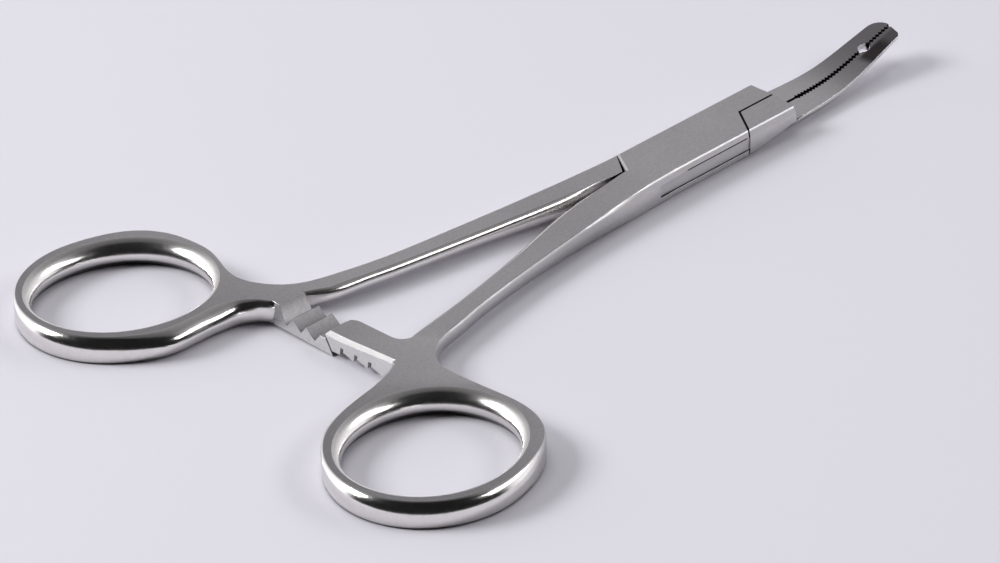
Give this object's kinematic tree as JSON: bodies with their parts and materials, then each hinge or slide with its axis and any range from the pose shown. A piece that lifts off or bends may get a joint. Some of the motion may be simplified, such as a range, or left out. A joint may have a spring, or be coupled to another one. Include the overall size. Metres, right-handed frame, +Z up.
{
  "type": "hemostat forceps",
  "caption": "Finger-ring clamp forceps with a box lock, a ratchet between the shanks and short upturned serrated jaws with a round eye.",
  "frame": {"origin": "on the pivot axis, level with the underside of the box and the rings", "axes": "+X along the instrument towards the jaws, +Y across it towards the ring of the insert half, +Z up, square to the flats"},
  "size_m": [0.1393, 0.0854, 0.0056],
  "materials": {
    "satin_steel": "satin flats with polished edges",
    "pin_steel": "ground flush, satin"
  },
  "bodies": {
    "box_half": {"box_half": "satin_steel", "pivot_pin": "pin_steel"},
    "insert_half": {"insert_half": "satin_steel"}
  },
  "joints": [
    {"name": "box_lock", "type": "hinge", "parent": "box_half", "child": "insert_half", "pos_m": [0, 0, 0.0021], "axis": [0, 0, -1], "range_deg": [0, 40]}
  ]
}
